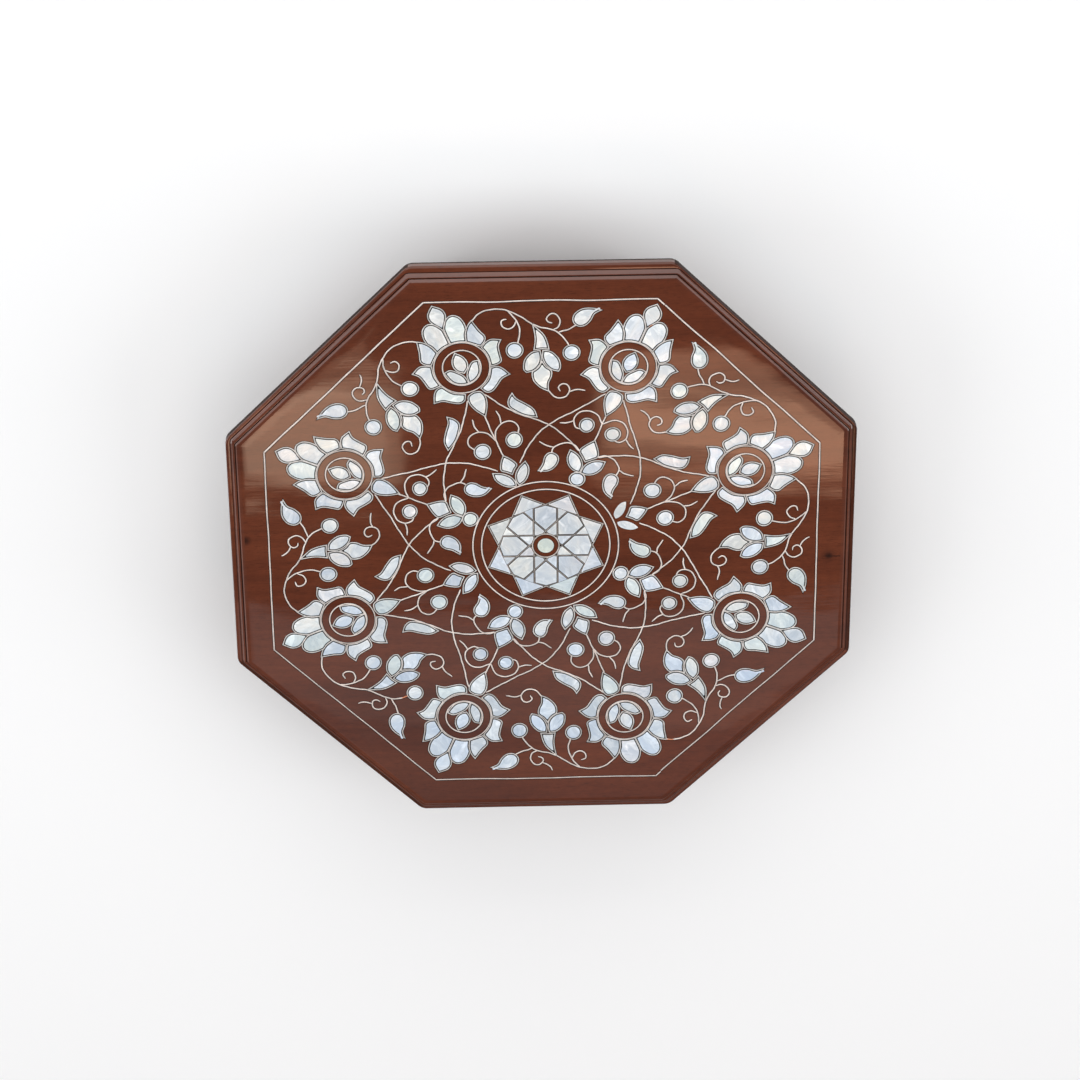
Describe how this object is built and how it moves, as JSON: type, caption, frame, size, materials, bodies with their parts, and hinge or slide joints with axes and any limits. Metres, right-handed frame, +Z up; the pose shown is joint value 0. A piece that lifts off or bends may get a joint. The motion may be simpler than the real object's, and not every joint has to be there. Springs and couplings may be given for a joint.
{
  "type": "inlaid wooden box",
  "caption": "Octagonal wooden box on a set-back plinth, with a hinged, moulded lid inlaid with a flower and star pattern in shell and fine wire.",
  "frame": {"origin": "on the floor, under the middle of the box", "axes": "+Z up; +Y towards the back, where the hinges are; the front faces -Y; +X is the right-hand side seen from the front"},
  "size_m": [0.3, 0.3, 0.062],
  "materials": {
    "brown_wood": "glossy varnish over reddish-brown wood",
    "dark_wood": "glossy varnish over dark brown wood",
    "pale_wood": "plain planed wood",
    "red_felt": "dark red felt",
    "hinge_brass": "satin",
    "pin_steel": "satin",
    "tin_wire": "soft white metal, filed flush",
    "shell": "polished mother of pearl"
  },
  "bodies": {
    "box": {"plinth": "dark_wood", "glue_blocks": "pale_wood", "bottom_board": "pale_wood", "walls": "brown_wood", "wall_back": "brown_wood", "floor_felt": "red_felt", "wall_felt": "red_felt", "hinge_leaves_body": "hinge_brass", "hinge_pins": "pin_steel", "screws_body": "hinge_brass"},
    "lid": {"hinge_leaves_lid": "hinge_brass", "screws_lid": "hinge_brass", "lid_frame": "dark_wood", "lid_frame_back": "dark_wood", "lid_felt": "red_felt", "lid_core": "pale_wood", "lid_moulding": "brown_wood", "lid_ground": "brown_wood", "wire_border": "tin_wire", "wire_rings": "tin_wire", "wire_stems": "tin_wire", "wire_star": "tin_wire", "wire_flower_outlines": "tin_wire", "wire_tulip_outlines": "tin_wire", "wire_bud_outlines": "tin_wire", "wire_leaf_outlines": "tin_wire", "wire_berry_outlines": "tin_wire", "pearl_flower_petals": "shell", "pearl_flower_buds": "shell", "pearl_tulips": "shell", "pearl_ring_buds": "shell", "pearl_leaves": "shell", "pearl_berries": "shell", "pearl_star_kites": "shell", "pearl_star_points": "shell", "pearl_star_wedges": "shell", "pearl_centre": "shell"}
  },
  "joints": [
    {"name": "lid_hinge", "type": "hinge", "parent": "box", "child": "lid", "pos_m": [0, 0.1276, 0.0404], "axis": [-1, 0, 0], "range_deg": [0, 100]}
  ]
}
